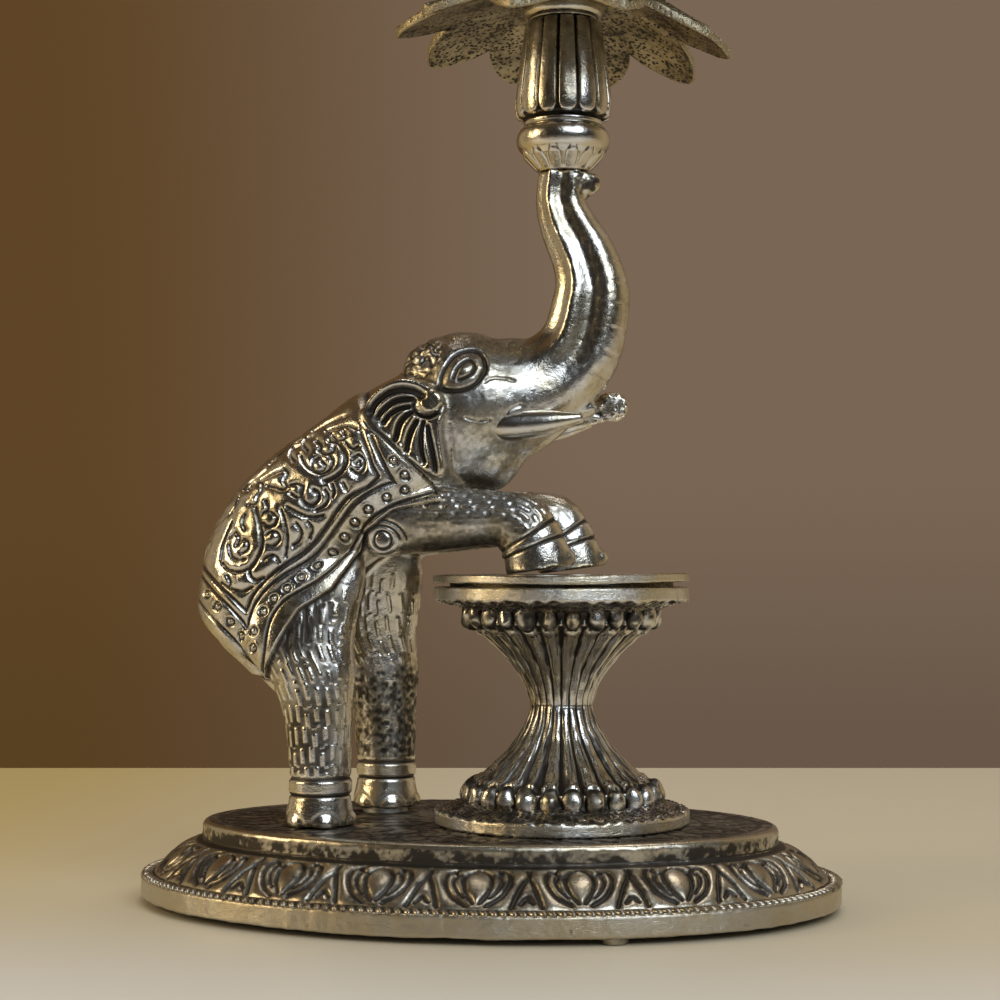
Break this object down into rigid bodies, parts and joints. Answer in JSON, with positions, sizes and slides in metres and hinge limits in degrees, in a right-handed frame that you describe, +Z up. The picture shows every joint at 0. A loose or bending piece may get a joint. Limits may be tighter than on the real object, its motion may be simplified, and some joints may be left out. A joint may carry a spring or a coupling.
{
  "type": "standing oil lamp",
  "caption": "Standing oil lamp: an elephant on an oval plinth rests its forefeet on a fluted pedestal and holds up a lotus whose oil bowl lifts out.",
  "frame": {"origin": "middle of the plinth's footprint, on the surface that the lamp stands on", "axes": "+Z up; +X the way the elephant faces, along the plinth's length; +Y to the elephant's left"},
  "size_m": [0.158, 0.107, 0.2312],
  "materials": {
    "cast_silver": "cast white metal, polished on the raised parts, with dark antique patina in the recesses",
    "plinth_silver": "cast white metal with heavy dark patina, ground bright on the rim",
    "petal_silver": "cast white metal with a pitted skin and ground edges",
    "bowl_silver": "turned white metal, lightly polished",
    "fastener_steel": "zinc-plated steel",
    "cotton": "loose twisted cotton wool"
  },
  "bodies": {
    "lamp": {"plinth": "plinth_silver", "pedestal_foot": "cast_silver", "pedestal_cup": "cast_silver", "pedestal_disc": "cast_silver", "pedestal_bolt": "fastener_steel", "pedestal_washer": "fastener_steel", "pedestal_nut": "fastener_steel", "elephant": "cast_silver", "hind_foot_spacer": "fastener_steel", "hind_foot_screws": "fastener_steel", "hind_foot_washers": "fastener_steel", "trunk_cup": "cast_silver", "fluted_barrel": "cast_silver", "stem_collar": "cast_silver", "stem_rod": "fastener_steel", "lower_petals": "petal_silver", "middle_petals": "petal_silver", "inner_petals": "petal_silver", "lotus_washer": "fastener_steel", "lotus_nut": "fastener_steel", "bowl_seat": "cast_silver"},
    "bowl": {"oil_bowl": "bowl_silver", "cotton_wick": "cotton"}
  },
  "joints": [
    {"name": "bowl_lift", "type": "slide", "parent": "lamp", "child": "bowl", "axis": [0, 0, 1], "range_m": [0, 0.05]}
  ]
}
